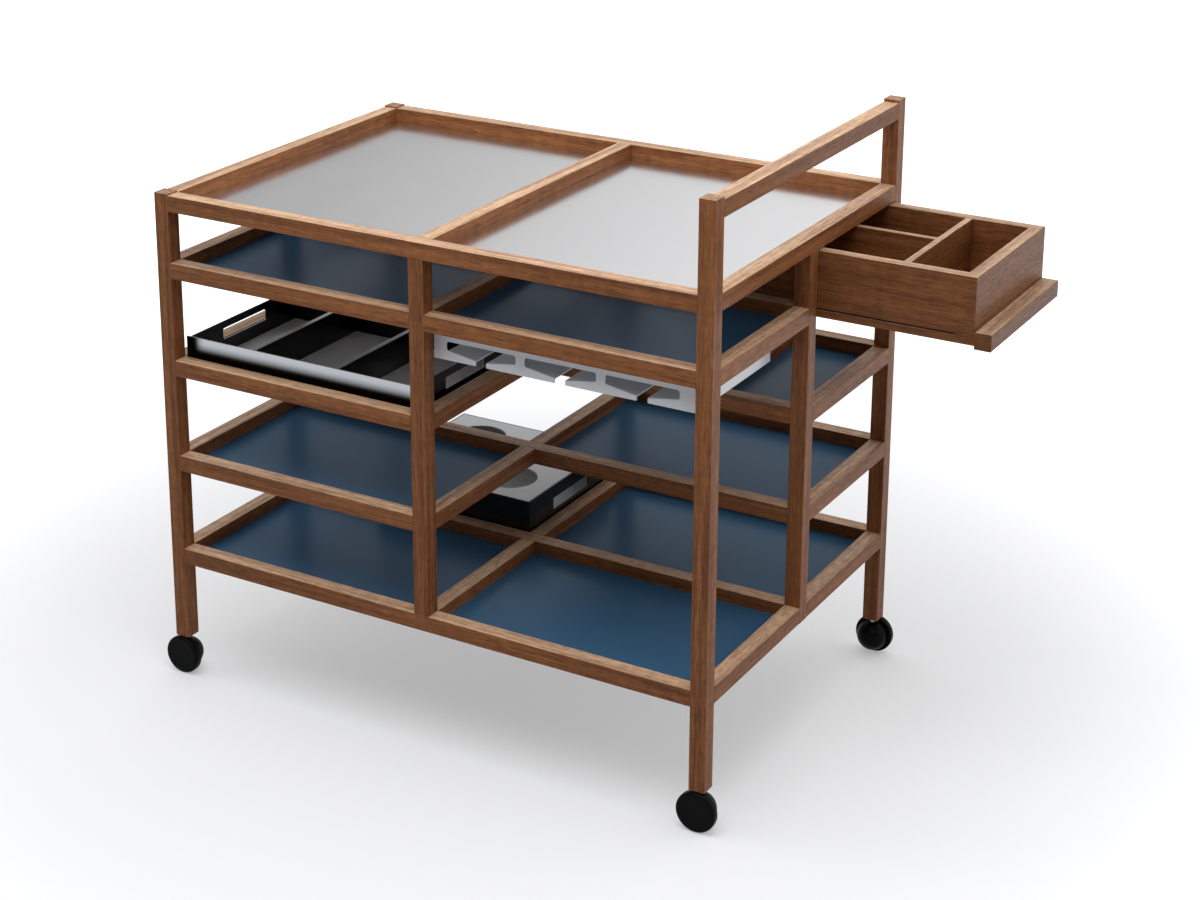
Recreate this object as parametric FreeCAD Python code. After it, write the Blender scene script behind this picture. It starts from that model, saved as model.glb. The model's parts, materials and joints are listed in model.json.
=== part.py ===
import FreeCAD, Part
import math
import os

Vector = FreeCAD.Vector

# A four-bay trolley on castors, in millimetres. X runs along its length, from the plain end to
# the handle end, Y from front to back and Z up. The origin is on the floor, under the middle
# of the frame. The drawer is shown pulled out, as it stands in use.

# Frame
FRAME_LENGTH = 900.0
FRAME_WIDTH = 604.0
SECTION = 24.0               # square section of every post and rail
EASED_EDGE = 0.8             # radius along the long edges of the wood
LOWEST_RAIL_TOP = 147.0      # above the post bottoms
SHELF_PITCH = 150.0          # from one shelf level to the next
TOP_BAY = 101.5              # from the upper rails to the top rails
POST_PROUD = 2.0             # the posts stand this much above the top rails
HANDLE_RISE = 125.0          # the handle posts above the other posts
HANDLE_DROP = 4.0            # the handle rail below its post tops
FIT = 0.1                    # clearance of pieces let into each other
DOWEL_DIAMETER = 6.0
DOWEL_IN_RAIL = 20.0         # how far a dowel goes into the end of its rail
DOWEL_WALL = 0.5             # wood left between two dowels that meet in a post
DOWEL_FIT = 0.05

# Shelves and top panels, let into grooves in the rails
PANEL_THICKNESS = 3.0
PANEL_RECESS = 19.0          # panel surface below the top of its rails
PANEL_IN_GROOVE = 5.0        # reach of the tongue round each panel
PANEL_STEP = 1.0             # top of the tongue below the panel surface
SIDE_RAIL_OFFSET = 289.0     # centre of the short rail of the back right shelf, from mid length

# Castors: one wheel beside a domed housing that the stem stands in
WHEEL_DIAMETER = 59.0
WHEEL_UNDER_POST = 1.0       # gap between the wheel and its post
WHEEL_BESIDE_STEM = 5.0      # inner face of the wheel, from the middle of the stem
WHEEL_THICKNESS = 11.8
WHEEL_SHOULDER = 4.0         # rounding of the wheel's outer rim
WHEEL_EDGE = 1.2             # and of its inner rim
HUB_SKIN = 2.0               # plastic over the end of the axle
DOME_RADIUS = 23.6
DOME_OFFSET = 1.0            # middle of the dome, from the stem towards the wheel
DOME_TO_WHEEL = 1.2
DOME_EDGE = 0.8
AXLE_DIAMETER = 6.0
AXLE_IN_DOME = 16.0          # how far the axle reaches past the stem's middle
STEM_DIAMETER = 8.0
STEM_IN_POST = 32.0
STEM_IN_HOUSING = 20.0
RUNNING_FIT = 0.05           # radial clearance where something turns
END_FIT = 0.2                # clearance at the end of a pin

# Drawer
DRAWER_TRAVEL = 251.5
DRAWER_BACK_GAP = 14.0       # behind the drawer when it is shut
DRAWER_WALL = 18.0
DRAWER_SIDE_GAP = 1.0
DRAWER_TOP_GAP = 1.5         # under the top rails
DRAWER_LIFT = 4.5            # drawer box above the underside of the upper rails
DRAWER_FLOOR = 4.0
DRAWER_FLOOR_RISE = 4.5      # floor board above the lower edge of the sides
DRAWER_FLOOR_IN_GROOVE = 6.0
DRAWER_DIVIDER = 10.0
OUTER_CELL = 83.0            # from the front board to the cross divider
LONG_DIVIDER_SHIFT = 2.0     # of the long divider, from the middle towards the back
RUNNER_THICKNESS = 2.4
RUNNER_DROP = 8.4            # underside of the runner below the top of the upper rails
RUNNER_IN_RAIL = 6.0
RUNNER_IN_DRAWER = 6.0
RUNNER_SHORT = 30.0          # the runner ends this far inside the end rail's face
GROOVE_CLEARANCE = 0.3       # round the runner in the drawer's groove
GROOVE_SHORT = 28.0          # the groove ends this far behind the drawer's front

# Rack for stemmed glasses, under the front right shelf
RACK_SHEET = 1.5
RACK_HEIGHT = 46.5
RACK_SIDE_GAP = 0.5          # beside the rail in front and the upright
RACK_END_GAP = 11.5          # between the rack's right end and the end of its bay
RACK_BACK_GAP = 45.5         # between the rack and the rail behind it
SLOT_COUNT = 3
WINDOW_GAP = 14.0            # web between two windows
WINDOW_TOP = 27.0            # above the lower edge of the rack
WINDOW_CORNER = 4.0
FIRST_WINDOW = 20.5          # from the rack's left end
LAST_WINDOW = 23.5           # from the rack's right end
LIP_AT_WEB = 14.5            # height of the sloping lip beside the web
LIP_AT_SLOT = 7.0            # and beside the slot
STEM_SLOT = 16.0
RACK_SIDE_STRIP_INSET = 3.0  # left lip, in from the edge of the first window

# Tray with two dividers, on the front left shelf
TRAY_SHEET = 1.5
TRAY_HEIGHT = 50.5
TRAY_GAP = 2.0               # between the tray and the rails in front and beside
TRAY_BACK_GAP = 10.0         # between the tray and the rail behind it
TRAY_SIDE_INSET = 6.0        # the side walls stand inside the ends of the front wall
TRAY_DIVIDER_COUNT = 2
TRAY_DIVIDER_WIDTH = 8.0
FIRST_DIVIDER = 120.0        # from the tray's left end
DIVIDER_PITCH = 146.0
TRAY_DIVIDER_DROP = 1.0      # divider tops below the tray's rim
TRAY_SLOT_LENGTH = 103.0
TRAY_SLOT_HEIGHT = 17.0
TRAY_SLOT_RISE = 22.0        # above the tray's underside
SLOT_CORNER = 3.0

# Box with a holed plate, on the back left shelf
BOX_SHEET = 2.0
BOX_LENGTH = 280.0
BOX_HEIGHT = 67.0
BOX_GAP = 2.0                # between the box and the rails beside it
BOX_BACK_GAP = 12.0          # between the box and the rail behind it
BOX_PLATE = 2.0
BOX_LEDGE = 8.0
PLATE_FIT = 0.5
HOLE_RADIUS = 42.0
HOLE_TO_END = 30.0           # plate left between the holes and its ends
HOLE_TO_SIDE = 22.5          # and its front and back
BOX_SLOT_LENGTH = 107.0
BOX_SLOT_HEIGHT = 19.0
BOX_SLOT_RISE = 27.0         # above the box's underside

# Places worked out from the sizes above
BASE = WHEEL_DIAMETER + WHEEL_UNDER_POST
HALF = SECTION / 2
POST_X = FRAME_LENGTH / 2 - HALF
POST_Y = FRAME_WIDTH / 2 - HALF
INSIDE_X = POST_X - HALF
INSIDE_Y = POST_Y - HALF
BOTTOM = BASE + LOWEST_RAIL_TOP
LOWER = BOTTOM + SHELF_PITCH
MIDDLE = LOWER + SHELF_PITCH
UPPER = MIDDLE + SHELF_PITCH
TOP = UPPER + TOP_BAY
SHORT_POST_TOP = TOP + POST_PROUD
TALL_POST_TOP = SHORT_POST_TOP + HANDLE_RISE
HANDLE = TALL_POST_TOP - HANDLE_DROP
DOWEL_IN_POST = HALF - DOWEL_DIAMETER / 2 - DOWEL_WALL
QUARTER = 0.5 ** 0.5         # sine and cosine of 45 degrees
CORNERS = {"front_left": (-1, -1), "back_left": (-1, 1),
           "front_right": (1, -1), "back_right": (1, 1)}

pieces = {}                  # node name: its solids
dowels = []
dowel_holes = []
grooves = []


def add(node, solid):
    pieces.setdefault(node, []).append(solid)


def box(x0, x1, y0, y1, z0, z1):
    return Part.makeBox(x1 - x0, y1 - y0, z1 - z0, Vector(x0, y0, z0))


def rounded(solid, radius, wanted):
    """Rounds the straight edges whose two ends pass the test."""
    edges = [e for e in solid.Edges if len(e.Vertexes) == 2
             and wanted(e.Vertexes[0].Point, e.Vertexes[1].Point)]
    return solid.makeFillet(radius, edges)


def eased_bar(x0, x1, y0, y1, z0, z1, along):
    """A squared bar with its four long edges eased. along is the unit vector of its length."""
    bar = box(x0, x1, y0, y1, z0, z1)
    length = max(x1 - x0, y1 - y0, z1 - z0)

    def is_long(a, b):
        return abs(abs((b - a).dot(along)) - length) < FIT
    return rounded(bar, EASED_EDGE, is_long)


def put_dowel(joint, along):
    """A dowel across a butt joint. along points from the joint into the rail."""
    radius = DOWEL_DIAMETER / 2
    start = joint - along * DOWEL_IN_POST
    length = DOWEL_IN_POST + DOWEL_IN_RAIL
    dowels.append(Part.makeCylinder(radius, length, start, along))
    hole_start = start - along * DOWEL_FIT
    hole = Part.makeCylinder(radius + DOWEL_FIT, length + 2 * DOWEL_FIT, hole_start, along)
    dowel_holes.append(hole)


def rail_along_x(node, x0, x1, y, top):
    add(node, eased_bar(x0, x1, y - HALF, y + HALF, top - SECTION, top, Vector(1, 0, 0)))
    put_dowel(Vector(x0, y, top - HALF), Vector(1, 0, 0))
    put_dowel(Vector(x1, y, top - HALF), Vector(-1, 0, 0))


def rail_along_y(node, x, y0, y1, top):
    add(node, eased_bar(x - HALF, x + HALF, y0, y1, top - SECTION, top, Vector(0, 1, 0)))
    put_dowel(Vector(x, y0, top - HALF), Vector(0, 1, 0))
    put_dowel(Vector(x, y1, top - HALF), Vector(0, -1, 0))


def post(node, x, y, z0, z1):
    add(node, eased_bar(x - HALF, x + HALF, y - HALF, y + HALF, z0, z1, Vector(0, 0, 1)))


def make_posts():
    for name, (side, face) in CORNERS.items():
        top = TALL_POST_TOP if side > 0 else SHORT_POST_TOP
        post("post_" + name, side * POST_X, face * POST_Y, BASE, top)
    # The uprights between them carry the rail ends at mid length and mid width.
    for name, face in (("front", -1), ("back", 1)):
        post("upright_" + name, 0, face * POST_Y, BOTTOM, TOP - SECTION)
        put_dowel(Vector(0, face * POST_Y, BOTTOM), Vector(0, 0, 1))
        put_dowel(Vector(0, face * POST_Y, TOP - SECTION), Vector(0, 0, -1))
    for name, side in (("left", -1), ("right", 1)):
        post("upright_" + name, side * POST_X, 0, BOTTOM - SECTION, TOP - SECTION)
        put_dowel(Vector(side * POST_X, 0, TOP - SECTION), Vector(0, 0, -1))


def make_top_rails():
    rail_along_x("top_front_rail", -INSIDE_X, INSIDE_X, -POST_Y, TOP)
    rail_along_x("top_back_rail", -INSIDE_X, INSIDE_X, POST_Y, TOP)
    rail_along_y("top_left_rail", -POST_X, -INSIDE_Y, INSIDE_Y, TOP)
    rail_along_y("top_right_rail", POST_X, -INSIDE_Y, INSIDE_Y, TOP)
    rail_along_y("top_cross_rail", 0, -INSIDE_Y, INSIDE_Y, TOP)
    rail_along_y("handle_rail", POST_X, -INSIDE_Y, INSIDE_Y, HANDLE)


def make_crossing(level, top):
    """The two rails that cross in the middle, halved into each other."""
    rail_along_x(level + "_centre_rail", -INSIDE_X, INSIDE_X, 0, top)
    rail_along_y(level + "_cross_rail", 0, -INSIDE_Y, INSIDE_Y, top)
    lap = HALF + FIT
    centre = pieces[level + "_centre_rail"]
    cross = pieces[level + "_cross_rail"]
    centre[0] = centre[0].cut(box(-lap, lap, -HALF, HALF, top - SECTION, top - HALF))
    cross[0] = cross[0].cut(box(-HALF, HALF, -lap, lap, top - HALF, top))


def half_rail_x(level, top, side, face):
    """A rail of half the length, in the front or back of the frame."""
    x0, x1 = (-INSIDE_X, -HALF) if side < 0 else (HALF, INSIDE_X)
    rail_along_x(level + "_long_rails", x0, x1, face * POST_Y, top)


def half_rail_y(level, top, side, face):
    """A rail of half the width, in the left or right end of the frame."""
    y0, y1 = (-INSIDE_Y, -HALF) if face < 0 else (HALF, INSIDE_Y)
    rail_along_y(level + "_short_rails", side * POST_X, y0, y1, top)


def make_level_rails():
    make_crossing("upper", UPPER)
    for side, face in CORNERS.values():
        half_rail_x("upper", UPPER, side, face)
    # The drawer's pull closes the fourth end bay, so three short rails are enough.
    for side, face in ((-1, -1), (-1, 1), (1, -1)):
        half_rail_y("upper", UPPER, side, face)

    # These two levels have shelves in the front left and back right bays alone.
    for level, top in (("middle", MIDDLE), ("lower", LOWER)):
        make_crossing(level, top)
        for side, face in ((-1, -1), (1, 1)):
            half_rail_x(level, top, side, face)
            half_rail_y(level, top, side, face)
    rail_along_y("middle_short_rails", SIDE_RAIL_OFFSET, HALF, INSIDE_Y, MIDDLE)

    make_crossing("bottom", BOTTOM)
    for face in (-1, 1):
        rail_along_x("bottom_long_rails", -INSIDE_X, INSIDE_X, face * POST_Y, BOTTOM)
    for side, face in CORNERS.values():
        half_rail_y("bottom", BOTTOM, side, face)


def panel_plate(x0, x1, y0, y1, rail_top, spare):
    """A plate that fills the bay x0 to x1, y0 to y1, with a tongue into the rails round it.

    The tongue's corners are cut away to clear the posts. spare widens it for the groove.
    """
    reach = PANEL_IN_GROOVE + spare
    top = rail_top - PANEL_RECESS
    low = top - PANEL_THICKNESS
    plate = box(x0 + FIT, x1 - FIT, y0 + FIT, y1 - FIT, low, top)
    tongue_low = low - spare
    tongue_top = top - PANEL_STEP + spare
    along_x = box(x0 - reach, x1 + reach, y0 + FIT, y1 - FIT, tongue_low, tongue_top)
    along_y = box(x0 + FIT, x1 - FIT, y0 - reach, y1 + reach, tongue_low, tongue_top)
    return plate.fuse([along_x, along_y]).removeSplitter()


def panel(node, x0, x1, y0, y1, rail_top):
    add(node, panel_plate(x0, x1, y0, y1, rail_top, 0).Solids[0])
    grooves.append(panel_plate(x0, x1, y0, y1, rail_top, FIT).Solids[0])


def bay_panel(node, side, face, rail_top):
    x0, x1 = (-INSIDE_X, -HALF) if side < 0 else (HALF, INSIDE_X)
    y0, y1 = (-INSIDE_Y, -HALF) if face < 0 else (HALF, INSIDE_Y)
    panel(node, x0, x1, y0, y1, rail_top)


def make_panels():
    panel("top_panel_left", -INSIDE_X, -HALF, -INSIDE_Y, INSIDE_Y, TOP)
    panel("top_panel_right", HALF, INSIDE_X, -INSIDE_Y, INSIDE_Y, TOP)
    for side, face in ((-1, -1), (-1, 1), (1, -1)):
        bay_panel("upper_shelves", side, face, UPPER)
    bay_panel("middle_shelves", -1, -1, MIDDLE)
    panel("middle_shelves", HALF, SIDE_RAIL_OFFSET - HALF, HALF, INSIDE_Y, MIDDLE)
    panel("middle_shelves", SIDE_RAIL_OFFSET + HALF, INSIDE_X, HALF, INSIDE_Y, MIDDLE)
    bay_panel("lower_shelves", -1, -1, LOWER)
    bay_panel("lower_shelves", 1, 1, LOWER)
    for side, face in CORNERS.values():
        bay_panel("bottom_shelves", side, face, BOTTOM)


# The drawer, in the back right bay of the upper level
DRAWER_FACE_CLOSED = INSIDE_X
DRAWER_FRONT = DRAWER_FACE_CLOSED + DRAWER_TRAVEL
DRAWER_BACK = HALF + DRAWER_BACK_GAP + DRAWER_TRAVEL
DRAWER_Y0 = HALF + DRAWER_SIDE_GAP
DRAWER_Y1 = INSIDE_Y - DRAWER_SIDE_GAP
DRAWER_Z0 = UPPER - SECTION + DRAWER_LIFT
DRAWER_Z1 = TOP - SECTION - DRAWER_TOP_GAP
DRAWER_FLOOR_TOP = DRAWER_Z0 + DRAWER_FLOOR_RISE + DRAWER_FLOOR
RUNNER_Z0 = UPPER - RUNNER_DROP
RUNNER_Z1 = RUNNER_Z0 + RUNNER_THICKNESS
RUNNER_X0 = DRAWER_BACK - DRAWER_TRAVEL
RUNNER_X1 = INSIDE_X - RUNNER_SHORT


def runner(face_y, inward, spare):
    """A strip let into a rail face at face_y, reaching inward (+1 or -1) into the drawer."""
    far = face_y + inward * (DRAWER_SIDE_GAP + RUNNER_IN_DRAWER)
    near = face_y - inward * (RUNNER_IN_RAIL + spare)
    y0, y1 = min(near, far), max(near, far)
    return box(RUNNER_X0, RUNNER_X1, y0, y1, RUNNER_Z0 - spare, RUNNER_Z1 + spare)


def make_runners():
    for face_y, inward in ((HALF, 1), (INSIDE_Y, -1)):
        add("drawer_runners", runner(face_y, inward, 0))
        grooves.append(runner(face_y, inward, DOWEL_FIT))


def make_drawer():
    inner_y0 = DRAWER_Y0 + DRAWER_WALL
    inner_y1 = DRAWER_Y1 - DRAWER_WALL
    front_x0 = DRAWER_FRONT - DRAWER_WALL
    back_x1 = DRAWER_BACK + DRAWER_WALL
    z0, z1 = DRAWER_Z0, DRAWER_Z1
    reach = DRAWER_FLOOR_IN_GROOVE
    floor_z1 = DRAWER_FLOOR_TOP
    floor_z0 = floor_z1 - DRAWER_FLOOR
    floor = box(back_x1 - reach, front_x0 + reach, inner_y0 - reach, inner_y1 + reach,
                floor_z0, floor_z1)
    floor_groove = box(back_x1 - reach - FIT, front_x0 + reach + FIT,
                       inner_y0 - reach - FIT, inner_y1 + reach + FIT,
                       floor_z0 - FIT, floor_z1 + FIT)
    runner_groove_depth = RUNNER_IN_DRAWER + GROOVE_CLEARANCE
    groove_z0 = RUNNER_Z0 - GROOVE_CLEARANCE
    groove_z1 = RUNNER_Z1 + GROOVE_CLEARANCE
    groove_end = DRAWER_FRONT - GROOVE_SHORT

    # The front is mitred to the sides, so no end grain shows beside it.
    front = eased_bar(front_x0, DRAWER_FRONT, DRAWER_Y0, DRAWER_Y1, z0, z1, Vector(0, 1, 0))
    for name, outer, inner in (("near", DRAWER_Y0, inner_y0), ("far", DRAWER_Y1, inner_y1)):
        inward = math.copysign(1, inner - outer)
        y0, y1 = min(outer, inner), max(outer, inner)
        side = eased_bar(DRAWER_BACK, DRAWER_FRONT, y0, y1, z0, z1, Vector(1, 0, 0))
        deep = outer + inward * runner_groove_depth
        side = side.cut(box(DRAWER_BACK, groove_end, min(outer, deep), max(outer, deep),
                            groove_z0, groove_z1))
        corner_out, corner_in = (DRAWER_FRONT, outer), (front_x0, inner)
        side = side.cut(upright_prism([corner_in, corner_out, (DRAWER_FRONT, inner)], z0, z1))
        front = front.cut(upright_prism([corner_in, corner_out, (front_x0, outer)], z0, z1))
        add("drawer_side_" + name, side.cut(floor_groove))
    add("drawer_front", front.cut(floor_groove))
    back = eased_bar(DRAWER_BACK, back_x1, inner_y0, inner_y1, z0, z1, Vector(0, 1, 0))
    add("drawer_back", back.cut(floor_groove))
    add("drawer_floor", floor)

    divider_x1 = front_x0 - OUTER_CELL
    divider_x0 = divider_x1 - DRAWER_DIVIDER
    middle_y = (DRAWER_Y0 + DRAWER_Y1) / 2 + LONG_DIVIDER_SHIFT
    add("drawer_cross_divider", eased_bar(divider_x0, divider_x1, inner_y0, inner_y1,
                                          floor_z1, z1, Vector(0, 1, 0)))
    add("drawer_long_divider", eased_bar(back_x1, divider_x0, middle_y - DRAWER_DIVIDER / 2,
                                         middle_y + DRAWER_DIVIDER / 2, floor_z1, z1,
                                         Vector(1, 0, 0)))
    # The pull is a piece of the rail section, and takes a rail's place when the drawer is shut.
    add("drawer_pull", eased_bar(DRAWER_FRONT, DRAWER_FRONT + SECTION, DRAWER_Y0, DRAWER_Y1,
                                 UPPER - SECTION, UPPER, Vector(0, 1, 0)))


def upright_prism(points, z0, z1):
    """A solid of the outline given as (x, y) points, from z0 to z1."""
    corners = [Vector(x, y, z0) for x, y in points]
    outline = Part.makePolygon(corners + [corners[0]])
    return Part.Face(outline).extrude(Vector(0, 0, z1 - z0))


def extrude_y(points, y0, y1):
    """A solid of the outline given as (x, z) points, from y0 to y1."""
    corners = [Vector(x, y0, z) for x, z in points]
    outline = Part.makePolygon(corners + [corners[0]])
    return Part.Face(outline).extrude(Vector(0, y1 - y0, 0))


def make_rack():
    x0 = HALF + RACK_SIDE_GAP
    x1 = INSIDE_X - RACK_END_GAP
    y0 = -INSIDE_Y + RACK_SIDE_GAP
    y1 = -HALF - RACK_BACK_GAP
    z1 = UPPER - PANEL_RECESS - PANEL_THICKNESS
    z0 = z1 - RACK_HEIGHT
    web_z = z0 + LIP_AT_WEB
    slot_z = z0 + LIP_AT_SLOT
    pitch = (x1 - LAST_WINDOW + WINDOW_GAP - x0 - FIRST_WINDOW) / SLOT_COUNT
    lefts = [x0 + FIRST_WINDOW + i * pitch for i in range(SLOT_COUNT)]
    windows = [(left, left + pitch - WINDOW_GAP) for left in lefts]
    slots = [((a + b - STEM_SLOT) / 2, (a + b + STEM_SLOT) / 2) for a, b in windows]

    front = box(x0, x1, y0, y0 + RACK_SHEET, z0, z1)
    for (a, b), (left, right) in zip(windows, slots):
        hole = extrude_y([(a, web_z), (left, slot_z), (left, z0), (right, z0),
                          (right, slot_z), (b, web_z), (b, z0 + WINDOW_TOP),
                          (a, z0 + WINDOW_TOP)], y0, y0 + RACK_SHEET)
        hole = rounded(hole, WINDOW_CORNER,
                       lambda p, q: abs(p.z - q.z) < FIT and abs(p.x - q.x) < FIT
                       and p.z > z0 + WINDOW_TOP - FIT)
        front = front.cut(hole)

    # Sloping strips run back from the lips, on both sides of each slot.
    outlines = [[(windows[0][0] + RACK_SIDE_STRIP_INSET, web_z), (slots[0][0], slot_z)]]
    for i in range(SLOT_COUNT - 1):
        outlines.append([(slots[i][1], slot_z), (windows[i][1], web_z),
                         (windows[i + 1][0], web_z), (slots[i + 1][0], slot_z)])
    outlines.append([(slots[-1][1], slot_z), (windows[-1][1], web_z), (x1, web_z)])
    rack = front
    for outline in outlines:
        under = [(x, z - RACK_SHEET) for x, z in reversed(outline)]
        rack = rack.fuse(extrude_y(outline + under, y0, y1))
    rack = rack.fuse(box(x0, x1, y0, y1, z1 - RACK_SHEET, z1))
    rack = rack.fuse(box(x0, x1, y1 - RACK_SHEET, y1, z0, z1))
    rack = rack.fuse(box(x1 - RACK_SHEET, x1, y0, y1, z0, z1))
    add("stem_rack", rack.removeSplitter().Solids[0])


def hand_slot(x0, x1, y, z0, length, height):
    """A long hole along Y through a wall that spans x0 to x1."""
    slot = box(x0, x1, y - length / 2, y + length / 2, z0, z0 + height)
    return rounded(slot, SLOT_CORNER, lambda p, q: abs(p.x - q.x) > (x1 - x0) / 2)


def make_tray():
    x0 = -INSIDE_X + TRAY_GAP
    x1 = -HALF - TRAY_GAP
    y0 = -INSIDE_Y + TRAY_GAP
    y1 = -HALF - TRAY_BACK_GAP
    z0 = MIDDLE - PANEL_RECESS
    z1 = z0 + TRAY_HEIGHT
    left = x0 + TRAY_SIDE_INSET
    right = x1 - TRAY_SIDE_INSET
    sheet = TRAY_SHEET
    shell = box(left, right, y0, y1, z0, z1)
    shell = shell.cut(box(left + sheet, right - sheet, y0 + sheet, y1 - sheet, z0 + sheet, z1))
    shell = shell.fuse(box(x0, x1, y0, y0 + sheet, z0, z1))
    middle = (y0 + y1) / 2
    slot_z = z0 + TRAY_SLOT_RISE
    for wall in (left, right - sheet):
        shell = shell.cut(hand_slot(wall, wall + sheet, middle, slot_z, TRAY_SLOT_LENGTH,
                                    TRAY_SLOT_HEIGHT))
    add("tray", shell.removeSplitter().Solids[0])
    for i in range(TRAY_DIVIDER_COUNT):
        middle_x = x0 + FIRST_DIVIDER + i * DIVIDER_PITCH
        a = middle_x - TRAY_DIVIDER_WIDTH / 2
        b = middle_x + TRAY_DIVIDER_WIDTH / 2
        top = z1 - TRAY_DIVIDER_DROP
        fold = box(a, b, y0 + sheet, y1 - sheet, z0 + sheet, top)
        fold = fold.cut(box(a + sheet, b - sheet, y0 + sheet, y1 - sheet, z0 + sheet,
                            top - sheet))
        add("tray_dividers", fold)


def make_box_insert():
    x1 = -HALF - BOX_GAP
    x0 = x1 - BOX_LENGTH
    y0 = HALF + BOX_GAP
    y1 = INSIDE_Y - BOX_BACK_GAP
    z0 = BOTTOM - PANEL_RECESS
    z1 = z0 + BOX_HEIGHT
    sheet = BOX_SHEET
    ledge = sheet + BOX_LEDGE
    plate_z0 = z1 - BOX_PLATE
    ledge_z0 = plate_z0 - sheet
    shell = box(x0, x1, y0, y1, z0, z1)
    shell = shell.cut(box(x0 + sheet, x1 - sheet, y0 + sheet, y1 - sheet, plate_z0, z1))
    shell = shell.cut(box(x0 + ledge, x1 - ledge, y0 + ledge, y1 - ledge, ledge_z0, plate_z0))
    shell = shell.cut(box(x0 + sheet, x1 - sheet, y0 + sheet, y1 - sheet, z0 + sheet, ledge_z0))
    middle_x = (x0 + x1) / 2
    middle_y = (y0 + y1) / 2
    for wall in (x0, x1 - sheet):
        shell = shell.cut(hand_slot(wall, wall + sheet, middle_y, z0 + BOX_SLOT_RISE,
                                    BOX_SLOT_LENGTH, BOX_SLOT_HEIGHT))
    add("box_insert", shell)
    edge = sheet + PLATE_FIT
    plate = box(x0 + edge, x1 - edge, y0 + edge, y1 - edge, plate_z0, z1)
    from_x = (x1 - x0) / 2 - edge - HOLE_TO_END - HOLE_RADIUS
    from_y = (y1 - y0) / 2 - edge - HOLE_TO_SIDE - HOLE_RADIUS
    for i in (-1, 1):
        for j in (-1, 1):
            centre = Vector(middle_x + i * from_x, middle_y + j * from_y, plate_z0)
            plate = plate.cut(Part.makeCylinder(HOLE_RADIUS, BOX_PLATE, centre))
    add("box_plate", plate)


def turned(outline, arcs):
    """A solid of revolution about the Y axis. Each side runs to the next corner of outline.

    arcs gives a side its middle point, by the number of the side.
    """
    corners = [Vector(x, y, 0) for x, y in outline]
    edges = []
    for i, corner in enumerate(corners):
        following = corners[(i + 1) % len(corners)]
        if i in arcs:
            edges.append(Part.Arc(corner, Vector(*arcs[i], 0), following).toShape())
        else:
            edges.append(Part.makeLine(corner, following))
    face = Part.Face(Part.Wire(edges))
    return face.revolve(Vector(0, 0, 0), Vector(0, 1, 0), 360)


def arc_middle(x, y, radius, up):
    """Middle of a quarter round about (x, y), towards +X and up or down in Y."""
    return (x + radius * QUARTER, y + up * radius * QUARTER)


def make_wheel():
    radius = WHEEL_DIAMETER / 2
    bore = AXLE_DIAMETER / 2 + RUNNING_FIT
    inner = WHEEL_BESIDE_STEM
    outer = inner + WHEEL_THICKNESS
    bore_end = outer - HUB_SKIN
    edge = WHEEL_EDGE
    shoulder = WHEEL_SHOULDER
    outline = [(bore, inner), (radius - edge, inner), (radius, inner + edge),
               (radius, outer - shoulder), (radius - shoulder, outer), (0, outer),
               (0, bore_end), (bore, bore_end)]
    arcs = {1: arc_middle(radius - edge, inner + edge, edge, -1),
            3: arc_middle(radius - shoulder, outer - shoulder, shoulder, 1)}
    return turned(outline, arcs)


def make_dome():
    radius = DOME_RADIUS
    flat = WHEEL_BESIDE_STEM - DOME_TO_WHEEL
    edge = DOME_EDGE
    outline = [(0, flat), (radius - edge, flat), (radius, flat - edge), (radius, DOME_OFFSET),
               (0, DOME_OFFSET - radius)]
    arcs = {1: arc_middle(radius - edge, flat - edge, edge, 1),
            3: arc_middle(0, DOME_OFFSET, radius, -1)}
    return turned(outline, arcs)


def castor_pieces():
    """Housing, wheel and axle of a castor whose stem stands at x = y = 0, wheel towards +Y."""
    hub = Vector(0, 0, WHEEL_DIAMETER / 2)
    wheel_side = WHEEL_BESIDE_STEM + WHEEL_THICKNESS - HUB_SKIN - END_FIT
    axle_start = hub - Vector(0, AXLE_IN_DOME, 0)
    along = Vector(0, 1, 0)
    axle = Part.makeCylinder(AXLE_DIAMETER / 2, AXLE_IN_DOME + wheel_side, axle_start, along)
    axle_hole = Part.makeCylinder(AXLE_DIAMETER / 2 + RUNNING_FIT, AXLE_IN_DOME + wheel_side,
                                  axle_start - along * END_FIT, along)
    stem_hole = Part.makeCylinder(STEM_DIAMETER / 2 + RUNNING_FIT, STEM_IN_HOUSING + END_FIT,
                                  Vector(0, 0, BASE - STEM_IN_HOUSING - END_FIT))
    dome = make_dome()
    dome.translate(hub)
    wheel = make_wheel()
    wheel.translate(hub)
    return dome.cut([axle_hole, stem_hole]), [wheel, axle]


def make_castors():
    housing, rolling = castor_pieces()
    for name, (side, face) in CORNERS.items():
        place = Vector(side * POST_X, face * POST_Y, 0)
        turn = 180 if face < 0 else 0
        for node, solids in (("housing", [housing]), ("wheel", rolling)):
            for solid in solids:
                copy = solid.copy()
                copy.rotate(Vector(0, 0, 0), Vector(0, 0, 1), turn)
                copy.translate(place)
                add("castor_" + name + "_" + node, copy)
        stem_z0 = BASE - STEM_IN_HOUSING
        stem = Part.makeCylinder(STEM_DIAMETER / 2, STEM_IN_HOUSING + STEM_IN_POST,
                                 place + Vector(0, 0, stem_z0))
        add("castor_stems", stem)
        dowel_holes.append(Part.makeCylinder(STEM_DIAMETER / 2 + DOWEL_FIT,
                                             STEM_IN_POST + DOWEL_FIT,
                                             place + Vector(0, 0, BASE)))


def carve(solid, tools):
    """Cuts every tool that reaches the solid out of it."""
    near = [tool for tool in tools if solid.BoundBox.intersect(tool.BoundBox)]
    if near:
        solid = solid.cut(near)
    return solid.Solids


def is_frame_wood(node):
    return node.startswith(("post_", "upright_")) or node.endswith(("_rail", "_rails"))


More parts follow.
